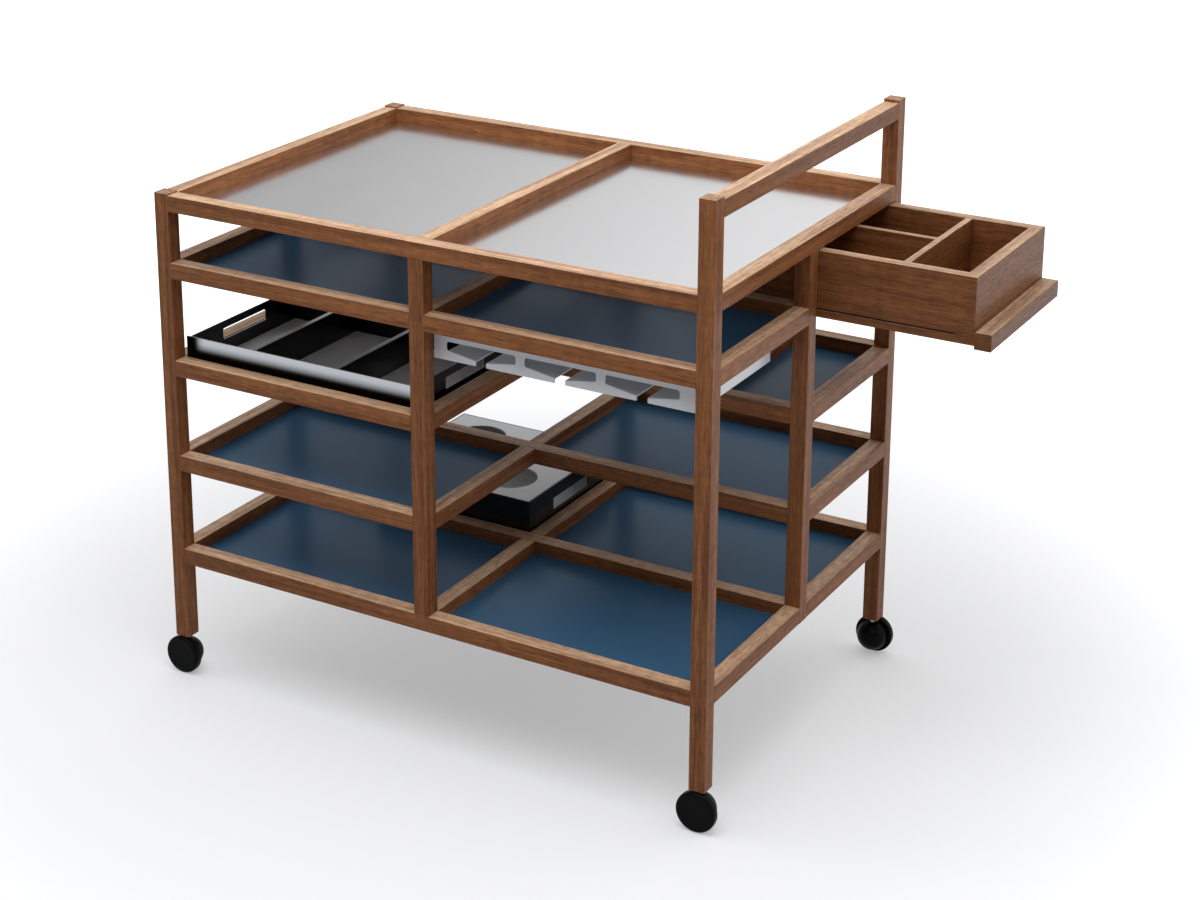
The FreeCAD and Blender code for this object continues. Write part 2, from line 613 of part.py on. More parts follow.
make_posts()
make_top_rails()
make_level_rails()
make_panels()
make_runners()
make_drawer()
make_rack()
make_tray()
make_box_insert()
make_castors()
pieces["frame_dowels"] = dowels

os.makedirs("parts", exist_ok=True)
for node, solids in pieces.items():
    if is_frame_wood(node):
        solids = [part for solid in solids for part in carve(solid, dowel_holes + grooves)]
    shape = solids[0] if len(solids) == 1 else Part.makeCompound(solids)
    shape.exportStep("parts/" + node + ".step")
    size = shape.BoundBox
    print(node, len(shape.Solids), shape.isValid(),
          round(size.XLength, 1), round(size.YLength, 1), round(size.ZLength, 1))
print(len(pieces), "nodes")
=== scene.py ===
# %% [markdown]
# # A serving trolley, dressed for a studio picture
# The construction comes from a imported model, which is loaded first and never moved. This file
# gives each piece its finish, adds the details that only show close up, and sets up a camera,
# a floor and soft lights.

# %% Load the trolley
import bpy
import bmesh
import json
import math
from mathutils import Matrix, Vector


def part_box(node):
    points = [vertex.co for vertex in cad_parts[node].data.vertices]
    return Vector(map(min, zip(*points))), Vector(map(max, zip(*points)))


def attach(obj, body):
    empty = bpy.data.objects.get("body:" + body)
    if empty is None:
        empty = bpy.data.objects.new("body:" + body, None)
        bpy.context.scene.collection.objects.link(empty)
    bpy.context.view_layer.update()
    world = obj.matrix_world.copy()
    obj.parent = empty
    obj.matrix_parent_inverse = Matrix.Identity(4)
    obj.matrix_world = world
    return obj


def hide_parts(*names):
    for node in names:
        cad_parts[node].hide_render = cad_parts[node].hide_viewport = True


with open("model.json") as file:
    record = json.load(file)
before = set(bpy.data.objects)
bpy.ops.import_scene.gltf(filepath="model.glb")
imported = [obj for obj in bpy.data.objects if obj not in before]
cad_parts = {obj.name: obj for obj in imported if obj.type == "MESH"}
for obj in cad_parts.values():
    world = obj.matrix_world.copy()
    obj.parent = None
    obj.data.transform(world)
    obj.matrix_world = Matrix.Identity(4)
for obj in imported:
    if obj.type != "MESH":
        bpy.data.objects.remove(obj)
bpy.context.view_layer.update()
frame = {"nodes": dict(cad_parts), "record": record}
print("loaded", len(frame["nodes"]), "pieces")

# %% [markdown]
# ## The camera
# The photograph is a crop of a wider picture: its vanishing point lies above and left of the
# middle. A lens shift gives the same crop without bending the uprights, which turning the
# camera would do.

# %% Camera
PHOTO_WIDTH, PHOTO_HEIGHT = 1200, 900
FOCAL_PIXELS = 2341.64
VANISH_PIXEL = (556.70, 195.94)
SENSOR_MM = 36.0
CAMERA_PLACE = (1.687755, -2.777542, 1.71769)
CAMERA_BELOW_LEVEL, CAMERA_TURN = 16.652, 30.635     # degrees

camera_data = bpy.data.cameras.new("camera")
camera_data.sensor_width = SENSOR_MM
camera_data.lens = FOCAL_PIXELS * SENSOR_MM / PHOTO_WIDTH
camera_data.shift_x = (PHOTO_WIDTH / 2 - VANISH_PIXEL[0]) / PHOTO_WIDTH
camera_data.shift_y = (VANISH_PIXEL[1] - PHOTO_HEIGHT / 2) / PHOTO_WIDTH
camera_data.clip_end = 50
camera = bpy.data.objects.new("camera", camera_data)
camera.location = CAMERA_PLACE
camera.rotation_euler = (math.radians(90 - CAMERA_BELOW_LEVEL), 0, math.radians(CAMERA_TURN))
bpy.context.collection.objects.link(camera)
bpy.context.scene.camera = camera
print("lens", round(camera_data.lens, 2), "mm")

# %% [markdown]
# ## Colours and nodes
# Colours are written as the hex values that a picture shows, and a shader wants them linear.
# One helper adds a node, sets its values and links its inputs, so each material reads from top
# to bottom. Another writes out the four values of a Map Range node.

# %% Helpers for materials
MM = 0.001
WHITE = (1, 1, 1, 1)


def linear(hex_colour, alpha=1.0):
    """The linear colour of an sRGB hex value such as '#a0b1c2'."""
    channels = [int(hex_colour[i:i + 2], 16) / 255 for i in (1, 3, 5)]
    straight = [c / 12.92 if c <= 0.04045 else ((c + 0.055) / 1.055) ** 2.4 for c in channels]
    return (*straight, alpha)


def add_node(tree, kind, settings=None, values=None, links=None):
    """Adds a node. settings are its properties, values its sockets, links (socket: output)."""
    node = tree.nodes.new(kind)
    for name, value in (settings or {}).items():
        setattr(node, name, value)
    for name, value in (values or {}).items():
        node.inputs[name].default_value = value
    for name, output in (links or {}).items():
        tree.links.new(output, node.inputs[name])
    return node


def span(low, high, to_low=0.0, to_high=1.0):
    """The values of a Map Range node that turns low..high into to_low..to_high."""
    return {"From Min": low, "From Max": high, "To Min": to_low, "To Max": to_high}


def new_material(name):
    """A material with its principled shader."""
    material = bpy.data.materials.new(name)
    material.use_nodes = True
    return material, material.node_tree, material.node_tree.nodes["Principled BSDF"]


def set_ramp(node, stops):
    """Gives a colour ramp its stops, as (place, hex colour)."""
    ramp = node.color_ramp
    while len(ramp.elements) < len(stops):
        ramp.elements.new(0.5)
    for element, (place, colour) in zip(ramp.elements, stops):
        element.position = place
        element.color = linear(colour)


SOFT = {"interpolation_type": "SMOOTHSTEP"}      # for a Map Range node
ONE_VALUE, ONE_COLOUR = {"data_type": "FLOAT"}, {"data_type": "RGBA"}    # for a Mix node
MULTIPLY = {"operation": "MULTIPLY"}             # for a Math node
print("a middle grey is", round(linear("#808080")[0], 3), "when linear")

# %% [markdown]
# ## The floor
# A sweep of white studio paper. Paper that is lit from above comes out grey rather than white,
# so a glow, which only the camera and reflections see, lifts it: a little near the trolley,
# where the shadow lies, and fully further off, where the paper meets the backdrop. What the
# paper sends back to the wood is weaker and has a colour of its own.

# %% Floor
FLOOR_SIZE = 30.0
FLOOR_WHITE = "#cfd0d3"
FLOOR_RETURN = "#aeaeb0"             # what the wood gets back from it
FLOOR_ROUGHNESS = 0.85
GLOW_NEAR, GLOW_FAR = 0.33, 1.0
GLOW_STARTS, GLOW_ENDS = 0.7, 2.0    # distances from the trolley's middle

floor_mesh = bpy.data.meshes.new("floor")
half_floor = FLOOR_SIZE / 2
floor_mesh.from_pydata([(-half_floor, -half_floor, 0), (half_floor, -half_floor, 0),
                        (half_floor, half_floor, 0), (-half_floor, half_floor, 0)],
                       [], [(0, 1, 2, 3)])
floor = bpy.data.objects.new("floor", floor_mesh)
bpy.context.collection.objects.link(floor)

floor_material, tree, shader = new_material("studio_floor_paper")
shader.inputs["Roughness"].default_value = FLOOR_ROUGHNESS
shader.inputs["Specular IOR Level"].default_value = 0.0
path = add_node(tree, "ShaderNodeLightPath")
paper = add_node(tree, "ShaderNodeMix", ONE_COLOUR, {
    "A": linear(FLOOR_WHITE), "B": linear(FLOOR_RETURN)},
    {"Factor": path.outputs["Is Diffuse Ray"]})
tree.links.new(paper.outputs["Result"], shader.inputs["Base Color"])
seen = add_node(tree, "ShaderNodeMath", {"operation": "MAXIMUM"},
                links={0: path.outputs["Is Camera Ray"], 1: path.outputs["Is Glossy Ray"]})
away = add_node(tree, "ShaderNodeVectorMath", {"operation": "LENGTH"}, links={
    0: add_node(tree, "ShaderNodeTexCoord").outputs["Object"]})
sweep = add_node(tree, "ShaderNodeMapRange", SOFT,
                 span(GLOW_STARTS, GLOW_ENDS, GLOW_NEAR, GLOW_FAR),
                 {"Value": away.outputs["Value"]})
lift = add_node(tree, "ShaderNodeMath", MULTIPLY,
                links={0: seen.outputs[0], 1: sweep.outputs["Result"]})
glow = add_node(tree, "ShaderNodeEmission", values={"Color": WHITE},
                links={"Strength": lift.outputs[0]})
both = add_node(tree, "ShaderNodeAddShader", links={0: shader.outputs[0], 1: glow.outputs[0]})
tree.links.new(both.outputs[0], tree.nodes["Material Output"].inputs["Surface"])
floor_mesh.materials.append(floor_material)
print("floor", FLOOR_SIZE, "m square")

# %% [markdown]
# ## The backdrop
# The light is that of a white studio: a bright wall behind and beside the trolley, and a dark
# room on the camera's side. One world could be the same to every ray, but here the wall is
# white to the camera, lights the wood from behind and hardly from the front, and is mirrored
# by the polished panels as a wall that is greyer low down and to the left.

# %% World
STUDIO_WHITE = 1.0
STUDIO_DARK = 0.10                   # the room on the camera's side, for the wood
MIRRORED_DARK = 0.45                 # and for polished faces turned that way
BACKDROP_LIGHT = 0.95                # share of the wall's white that lights the trolley
DARK_SIDE = (0.51, -0.86, 0.0)       # towards the camera
DARK_FROM, DARK_FULLY = -0.15, 0.45
BRIGHT_SIDE = (0.6, 0.36, 0.7)       # upwards and to the right
BRIGHT_FROM, BRIGHT_FULLY = 0.04, 0.34
GREY_BACKDROP = 0.3                  # share of white where the mirrored wall is greyest

world = bpy.data.worlds.new("studio")
world.use_nodes = True
bpy.context.scene.world = world
tree = world.node_tree
path = add_node(tree, "ShaderNodeLightPath")
direction = add_node(tree, "ShaderNodeTexCoord").outputs["Generated"]
towards_dark = add_node(tree, "ShaderNodeVectorMath", {"operation": "DOT_PRODUCT"},
                        {1: DARK_SIDE}, {0: direction})
shade = add_node(tree, "ShaderNodeMapRange", SOFT,
                 span(DARK_FROM, DARK_FULLY, STUDIO_WHITE, STUDIO_DARK),
                 {"Value": towards_dark.outputs["Value"]})
dimmed = add_node(tree, "ShaderNodeMath", MULTIPLY, {1: BACKDROP_LIGHT},
                  {0: shade.outputs["Result"]})
towards_bright = add_node(tree, "ShaderNodeVectorMath", {"operation": "DOT_PRODUCT"},
                          {1: BRIGHT_SIDE}, {0: direction})
rising = add_node(tree, "ShaderNodeMapRange", SOFT,
                  span(BRIGHT_FROM, BRIGHT_FULLY, GREY_BACKDROP, 1.0),
                  {"Value": towards_bright.outputs["Value"]})
wall = add_node(tree, "ShaderNodeMath", MULTIPLY, links={
    0: shade.outputs["Result"], 1: rising.outputs["Result"]})
mirrored = add_node(tree, "ShaderNodeMath", {"operation": "MAXIMUM"}, {1: MIRRORED_DARK},
                    {0: wall.outputs[0]})
for_gloss = add_node(tree, "ShaderNodeMix", ONE_VALUE, links={
    "Factor": path.outputs["Is Glossy Ray"], "A": dimmed.outputs[0],
    "B": mirrored.outputs[0]})
for_camera = add_node(tree, "ShaderNodeMix", ONE_VALUE, {"B": STUDIO_WHITE}, {
    "Factor": path.outputs["Is Camera Ray"], "A": for_gloss.outputs["Result"]})
background = tree.nodes["Background"]
background.inputs["Color"].default_value = WHITE
tree.links.new(for_camera.outputs["Result"], background.inputs["Strength"])
print("world", world.name)

# %% [markdown]
# ## The lamps
# A large soft box above and a little in front lights the level tops, which the walnut paints
# paler still, and gives the soft shadow between the castors. A small lamp would give hard edges
# to that shadow. A weak box on the right opens up the drawer's end.

# %% Lamps
LAMPS = {                # place, aim, size in metres, watts
    "overhead": ((0.4, -0.95, 2.95), (0.0, 0.0, 0.4), 2.2, 50),
    "right_fill": ((3.4, 0.2, 1.7), (0.3, 0.0, 0.5), 1.8, 12),
}

for name, (place, aim, size, watts) in LAMPS.items():
    data = bpy.data.lights.new(name, "AREA")
    data.shape = "SQUARE"
    data.size = size
    data.energy = watts
    lamp = bpy.data.objects.new(name, data)
    lamp.location = place
    lamp.rotation_euler = (Vector(aim) - Vector(place)).to_track_quat("-Z", "Y").to_euler()
    bpy.context.collection.objects.link(lamp)
print("lamps", ", ".join(LAMPS))

# %% [markdown]
# ## Patterns
# Every surface pattern here is noise, drawn out along the grain where there is one. It could
# follow an unwrapped surface, which every bar would need of its own. Object coordinates need
# nothing, stay with a piece when it moves, and let every bar cut a different piece out of the
# same log.

# %% Noise patterns


def grain_scale(axis, across, along):
    """The scale at which one unit of a pattern is `across` wide and `along` long on an axis."""
    scale = [1 / across] * 3
    scale[axis] = 1 / along
    return scale


def pattern(tree, where, scale, detail, roughness=0.5, distortion=0.0):
    """Noise at where, with one unit of it as large as scale says."""
    placed = add_node(tree, "ShaderNodeMapping", values={"Scale": scale},
                      links={"Vector": where})
    return add_node(tree, "ShaderNodeTexNoise", values={
        "Scale": 1.0, "Detail": detail, "Roughness": roughness, "Distortion": distortion},
        links={"Vector": placed.outputs[0]}).outputs["Fac"]


print("a pattern 1 mm wide and 20 mm long on X scales by",
      [round(s) for s in grain_scale(0, 1 * MM, 20 * MM)])

# %% [markdown]
# ## Walnut
# Oiled black walnut: planed, sanded and wiped with oil, so it is satin rather than glossy. The
# grain runs along each bar, so three versions share one recipe and differ in the direction in
# which the pattern is drawn out. Real pores are 0.2 mm wide, too fine to show, and are drawn
# 1.1 mm wide. Across the ends of a bar the same pattern shows as darker end grain. Level tops
# are painted paler, as light from above makes them look.

# %% Walnut material
BAND_WIDTH, BAND_LENGTH = 11 * MM, 420 * MM      # broad light and dark bands
STREAK_WIDTH, STREAK_LENGTH = 2.6 * MM, 110 * MM
PORE_WIDTH, PORE_LENGTH = 1.1 * MM, 22 * MM
MOTTLE_WIDTH, MOTTLE_LENGTH = 22 * MM, 11 * MM   # faint cross figure
STREAK_SHARE = 0.4                               # of the streaks against the bands
FIGURE_STOPS = [(0.36, "#74462a"), (0.5, "#8f5a35"), (0.66, "#a56c42")]
PORE_SHADE = (0.36, 0.56, 0.66, 1.12)            # pores are the dark end of their noise
MOTTLE_SHADE = (0.3, 0.7, 0.88, 1.1)
END_GRAIN = "#6b4327"
END_SHARE = (0.75, 0.95, 0.0, 0.55)              # by how far a face looks along the grain
PAINTED_TOP_LIGHT = (2.2, 3.65, 6.3, 1.0)                # painted light: level tops are drawn paler, as if lit from above
LEVEL_SHARE = (0.6, 0.95)                        # by how far a face looks up
PORE_ROUGHNESS = (0.3, 0.7, 0.52, 0.38)          # pores hold less oil
OIL_GLOSS = 0.16
PORE_BUMP, PORE_DEPTH = 0.3, 0.1 * MM
DRAWER_SHADE = 0.75                               # painted shade: the drawer's walnut is drawn darker, for the shade that falls in it


def walnut(axis, name="oiled_walnut", tone=1.0):
    """Walnut whose grain runs along axis 0, 1 or 2. A tone below 1 darkens it as painted shade.
    """
    material, tree, shader = new_material(name + "_" + "xyz"[axis])
    coordinates = add_node(tree, "ShaderNodeTexCoord")
    where = coordinates.outputs["Object"]
    bands = pattern(tree, where, grain_scale(axis, BAND_WIDTH, BAND_LENGTH), detail=3.0,
                    distortion=0.6)
    streaks = pattern(tree, where, grain_scale(axis, STREAK_WIDTH, STREAK_LENGTH), detail=4.0,
                      roughness=0.6)
    pores = pattern(tree, where, grain_scale(axis, PORE_WIDTH, PORE_LENGTH), detail=2.0,
                    roughness=0.6)
    mottle = pattern(tree, where, grain_scale(axis, MOTTLE_WIDTH, MOTTLE_LENGTH), detail=3.0,
                     roughness=0.6)
    figure = add_node(tree, "ShaderNodeMix", ONE_VALUE, {"Factor": STREAK_SHARE},
                      {"A": bands, "B": streaks})
    colour = add_node(tree, "ShaderNodeValToRGB", links={"Fac": figure.outputs["Result"]})
    set_ramp(colour, FIGURE_STOPS)

    low, high, darkest, palest = PORE_SHADE
    pore_shade = add_node(tree, "ShaderNodeMapRange", None,
                          span(low, high, darkest * tone, palest * tone), {"Value": pores})
    mottle_shade = add_node(tree, "ShaderNodeMapRange", None, span(*MOTTLE_SHADE),
                            {"Value": mottle})
    shade = add_node(tree, "ShaderNodeMath", MULTIPLY, links={
        0: pore_shade.outputs["Result"], 1: mottle_shade.outputs["Result"]})

    facing = add_node(tree, "ShaderNodeSeparateXYZ",
                      links={"Vector": coordinates.outputs["Normal"]})
    is_level = add_node(tree, "ShaderNodeMapRange", None, span(*LEVEL_SHARE),
                        {"Value": facing.outputs["Z"]})
    # painted light: faces that look up are drawn paler, as light from above makes them
    top_lit = add_node(tree, "ShaderNodeMix", {"data_type": "RGBA", "blend_type": "MULTIPLY"}, {
        "B": PAINTED_TOP_LIGHT}, {"Factor": is_level.outputs["Result"], "A": colour.outputs["Color"]})
    toned = add_node(tree, "ShaderNodeVectorMath", {"operation": "SCALE"},
                     links={0: top_lit.outputs["Result"], "Scale": shade.outputs[0]})
    along_grain = add_node(tree, "ShaderNodeMath", {"operation": "ABSOLUTE"},
                           links={0: facing.outputs[axis]})
    is_end = add_node(tree, "ShaderNodeMapRange", None, span(*END_SHARE),
                      {"Value": along_grain.outputs[0]})
    with_ends = add_node(tree, "ShaderNodeMix", ONE_COLOUR, {"B": linear(END_GRAIN)},
                         {"Factor": is_end.outputs["Result"], "A": toned.outputs[0]})
    tree.links.new(with_ends.outputs["Result"], shader.inputs["Base Color"])

    rough = add_node(tree, "ShaderNodeMapRange", None, span(*PORE_ROUGHNESS),
                     {"Value": pores})
    tree.links.new(rough.outputs["Result"], shader.inputs["Roughness"])
    shader.inputs["Specular IOR Level"].default_value = OIL_GLOSS
    bump = add_node(tree, "ShaderNodeBump", values={
        "Strength": PORE_BUMP, "Distance": PORE_DEPTH}, links={"Height": pores})
    tree.links.new(bump.outputs[0], shader.inputs["Normal"])
    return material


walnut_by_axis = [walnut(axis) for axis in range(3)]
# painted shade: the drawer's pieces take a darker copy of the walnut
shaded_drawer_walnut = [walnut(axis, "shaded_drawer_walnut", DRAWER_SHADE) for axis in range(3)]
print("walnut in", len(walnut_by_axis), "grain directions")

# %% [markdown]
# ## A recipe for smooth finishes
# Laminate, enamel, lacquer, metal and plastic have one colour each, and what makes them real is
# the surface: a roughness that wanders a little and a faint unevenness, whose grain and depth
# come from how each is pressed, sprayed, brushed or moulded.

# %% Smooth finishes
WANDER = (0.3, 0.7)                              # the middle part of the noise
FAINT_BUMP = 0.1
BACKING = (-0.3, -0.6)                           # by how far a face looks down


def uneven(tree, shader, grain, rough, depth):
    """Roughness that wanders between two values and a faint bump. grain and depth are in mm."""
    where = add_node(tree, "ShaderNodeTexCoord").outputs["Object"]
    cells = pattern(tree, where, grain_scale(0, grain * MM, grain * MM), detail=3.0)
    wander = add_node(tree, "ShaderNodeMapRange", None, span(*WANDER, *rough),
                      {"Value": cells})
    tree.links.new(wander.outputs["Result"], shader.inputs["Roughness"])
    bump = add_node(tree, "ShaderNodeBump", values={
        "Strength": FAINT_BUMP, "Distance": depth * MM}, links={"Height": cells})
    tree.links.new(bump.outputs[0], shader.inputs["Normal"])


def smooth_finish(name, colour, grain, rough, depth, gloss=0.5, metallic=0.0):
    """A finish of one colour. gloss is the strength of its reflections where it isn't metal."""
    material, tree, shader = new_material(name)
    shader.inputs["Base Color"].default_value = linear(colour)
    shader.inputs["Metallic"].default_value = metallic
    shader.inputs["Specular IOR Level"].default_value = gloss
    uneven(tree, shader, grain, rough, depth)
    return material


def metal(name, colour, grain, rough, depth):
    """A bare metal."""
    return smooth_finish(name, colour, grain, rough, depth, metallic=1.0)


def laminate(face, back):
    """Board with a satin coloured face on top and a pale backing underneath."""
    material = smooth_finish("pressed_laminate", face, grain=60, rough=(0.28, 0.3),
                             depth=0.002, gloss=0.08)
    tree = material.node_tree
    facing = add_node(tree, "ShaderNodeSeparateXYZ", links={
        "Vector": add_node(tree, "ShaderNodeTexCoord").outputs["Normal"]})
    down = add_node(tree, "ShaderNodeMapRange", None, span(*BACKING),
                    {"Value": facing.outputs["Z"]})
    side = add_node(tree, "ShaderNodeMix", ONE_COLOUR, {"A": linear(face), "B": linear(back)},
                    {"Factor": down.outputs["Result"]})
    tree.links.new(side.outputs["Result"],
                   tree.nodes["Principled BSDF"].inputs["Base Color"])
    return material


print("recipes: smooth_finish, metal, laminate")

# %% [markdown]
# ## Panels, metal and plastic
# The shelves are a navy laminate and the two top panels fine satin aluminium. The tray and the
# box are folded steel, lacquered black, with pale enamelled floors. The rack is enamelled a
# pale blue-grey, and the castors are moulded nylon. Enamel is used where bare metal would only
# mirror the dark underside of the shelf above.

# %% Panel, metal and plastic materials
finishes = {
    # pressed between polished plates: even, with a weak and soft reflection, and a pale
    # backing that sends light down into the bay below
    "navy_panel": laminate("#3c6485", "#e4e4e2"),
    # rolled and lightly blasted: mirrors the backdrop as a soft gradient
    "silver_panel": metal("satin_aluminium", "#e4e4e6", grain=60, rough=(0.17, 0.2),
                          depth=0.002),
    # sprayed and baked: black, with a clear highlight along its folds
    "black_steel": smooth_finish("black_lacquer", "#09090b", grain=40, rough=(0.2, 0.24),
                                 depth=0.004, gloss=0.4),
    # fired glass on steel: pale even in the shade, and glossy
    "grey_plate": smooth_finish("pale_grey_enamel", "#f0f2f4", grain=40, rough=(0.16, 0.2),
                                depth=0.004, gloss=0.8),
    # the same, a little bluer and more satin: soft grey slopes without a clear mirror image
    "rack_grey": smooth_finish("blue_grey_enamel", "#eef2f8", grain=40, rough=(0.3, 0.34),
                               depth=0.004),
    # moulded: nearly black, with a dull sheen on its rounded rim
    "castor_black": smooth_finish("moulded_nylon_black", "#0b0c0e", grain=12,
                                  rough=(0.28, 0.34), depth=0.01, gloss=0.06),
    # drawn rod: fine lines, a bright streak
    "bright_steel": metal("drawn_steel", "#b4b4b6", grain=2, rough=(0.25, 0.35), depth=0.02),
    # planed, unfinished and hidden in the joints
    "dowel_beech": smooth_finish("planed_beech", "#c9a57c", grain=3, rough=(0.55, 0.65),
                                 depth=0.05),
}
# matt primer inside the box, which its wells and slots show
inside_grey = smooth_finish("pale_grey_primer", "#c8cacc", grain=40, rough=(0.5, 0.55),
                            depth=0.004, gloss=0.2)
# the rack's strips and end: the palest enamel and the glossiest
rack_inside = smooth_finish("pale_blue_enamel", "#f6fafe", grain=40, rough=(0.2, 0.24),
                            depth=0.004, gloss=0.9)
# the holed plate: a plain mid grey that goes lighter towards the backdrop
lid_grey = smooth_finish("grey_satin_enamel", "#c8cbcd", grain=40, rough=(0.28, 0.3),
                         depth=0.001, gloss=0.6)
# rolled and tinted: a dark, soft mirror, on the tray's back and left end
dark_satin = metal("dark_satin_steel", "#8f9296", grain=40, rough=(0.16, 0.2), depth=0.004)
# sawn or folded, so that the lacquer is off: thin bright lines; put on upward faces only, so it
# is also a painted highlight
bare_edge_and_highlight = metal("bare_steel_edge_and_highlight", "#c4c5c7", grain=3, rough=(0.25, 0.3), depth=0.01)
# brushed along a fold: a wider and softer line; on the upward face only, so also a painted
# highlight
divider_top_and_highlight = metal("brushed_steel_fold_and_highlight", "#c4c6c8", grain=3, rough=(0.28, 0.34), depth=0.01)
print("finishes", ", ".join(finishes))

# %% [markdown]
# ## Outlines
# Everything folded from sheet is cut from flat plates, as it would be in a workshop, and each
# plate starts as an outline. `softened` rounds the corners of an outline, because no cut corner
# is quite sharp and a round one catches the light.

# %% Outlines
ARC_STEPS = 5
LONGEST_ROUNDING = 0.45                          # share of a side that a corner may take
CIRCLE_STEPS = 96
CUT_CORNER = 0.3 * MM


def softened(corners, radius):
    """The outline with its corners rounded. radius is one value, or one for each corner."""
    radii = radius if isinstance(radius, (list, tuple)) else [radius] * len(corners)
    outline = []
    for i, corner in enumerate(corners):
        here = Vector(corner)
        back = Vector(corners[i - 1]) - here
        ahead = Vector(corners[(i + 1) % len(corners)]) - here
        reach = min(radii[i], LONGEST_ROUNDING * back.length, LONGEST_ROUNDING * ahead.length)
        start = here + back.normalized() * reach
        end = here + ahead.normalized() * reach
        for step in range(ARC_STEPS + 1):
            t = step / ARC_STEPS
            outline.append(start.lerp(here, t).lerp(here.lerp(end, t), t))
    return outline


def rectangle(u0, u1, v0, v1, radius=CUT_CORNER):
    """A rectangle with rounded corners, as an outline."""
    return softened([(u0, v0), (u1, v0), (u1, v1), (u0, v1)], radius)


def circle(u, v, radius):
    """A round outline."""
    turns = [2 * math.pi * i / CIRCLE_STEPS for i in range(CIRCLE_STEPS)]
    return [(u + radius * math.cos(t), v + radius * math.sin(t)) for t in turns]


print("a rectangle has", len(rectangle(0, 1, 0, 1)), "points")

# %% [markdown]
# ## Plates
# A sheet's cut edge is never sharp: a file or a brush takes it off, and it shows as a thin
# light line. Holes could be cut out of a slab with booleans. A filled flat curve with holes is
# used instead, since its own bevel eases every edge, round the holes too, and its offset keeps
# the plate's full size to the outline.

# %% Plates
EASED = 0.3 * MM
STANDS = {0: ((0, 0, 1), (1, 0, 0), (0, 1, 0)),      # how a plate stands up across each axis
          1: ((1, 0, 0), (0, 0, -1), (0, 1, 0)),
          2: ((1, 0, 0), (0, 1, 0), (0, 0, 1))}


def plate(outlines, normal, start, thickness, material, edge=EASED):
    """A sheet with eased edges, cut to the first outline and pierced by the others.

    normal is the axis 0, 1 or 2 across the sheet, and start its lower face on that axis. The
    outlines are in the other two axes, in order.
    """
    curve = bpy.data.curves.new("outline", "CURVE")
    curve.dimensions = "2D"
    curve.fill_mode = "BOTH"
    curve.extrude = thickness / 2 - edge
    curve.bevel_depth = edge
    curve.bevel_resolution = 1
    curve.offset = -edge
    for outline in outlines:
        spline = curve.splines.new("POLY")
        spline.points.add(len(outline) - 1)
        for point, (u, v) in zip(spline.points, outline):
            point.co = (u, v, 0, 1)
        spline.use_cyclic_u = True
    holder = bpy.data.objects.new("outline", curve)
    mesh = bpy.data.meshes.new_from_object(holder)
    bpy.data.objects.remove(holder)
    bpy.data.curves.remove(curve)
    mesh.transform(Matrix(STANDS[normal]).to_4x4())
    shift = [0, 0, 0]
    shift[normal] = start + thickness / 2
    mesh.transform(Matrix.Translation(shift))
    mesh.materials.clear()
    mesh.materials.append(material)
    return mesh


print("plates are eased by", EASED / MM, "mm")

# %% [markdown]
# ## Pieces
# The plates of one folded piece are painted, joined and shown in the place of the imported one.
# They could stay separate objects, but one mesh is one piece, as the real tray is. The piece
# rides on the same body, so the tray still lifts out and the castors still turn.

# %% Pieces
body_of = {node: body for body, nodes in frame["record"]["behaviour"]["bodies"].items()
           for node in nodes}


def paint(mesh, material, wanted):
    """Gives material to the faces whose centre and normal pass the test."""
    mesh.materials.append(material)
    for face in mesh.polygons:
        if wanted(face.center, face.normal):
            face.material_index = len(mesh.materials) - 1
    return mesh


def joined(meshes):
    """One mesh out of several, with each material once."""
    whole = bmesh.new()
    materials = []
    for mesh in meshes:
        for material in mesh.materials:
            if material not in materials:
                materials.append(material)
        slots = [materials.index(material) for material in mesh.materials]
        for face in mesh.polygons:
            face.material_index = slots[face.material_index]
        whole.from_mesh(mesh)
    result = bpy.data.meshes.new("joined")
    whole.to_mesh(result)
    whole.free()
    for material in materials:
        result.materials.append(material)
    return result


def show(name, node, meshes):
    """Shows the meshes as one piece in the place of a node."""
    mesh = joined(meshes)
    mesh.name = name
    piece = bpy.data.objects.new(name, mesh)
    bpy.context.collection.objects.link(piece)
    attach(piece, body_of[node])
    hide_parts(node)
    print(name, len(mesh.polygons), "faces")


# %% [markdown]
# ## Rows
# The tray's dividers and the rack's troughs repeat at an even pitch. They could be copied by
# hand or by a loop. Here a node tree places the copies on a line of points, so a row is two
# numbers, its count and its pitch, and the result is turned to plain mesh.

# %% Rows


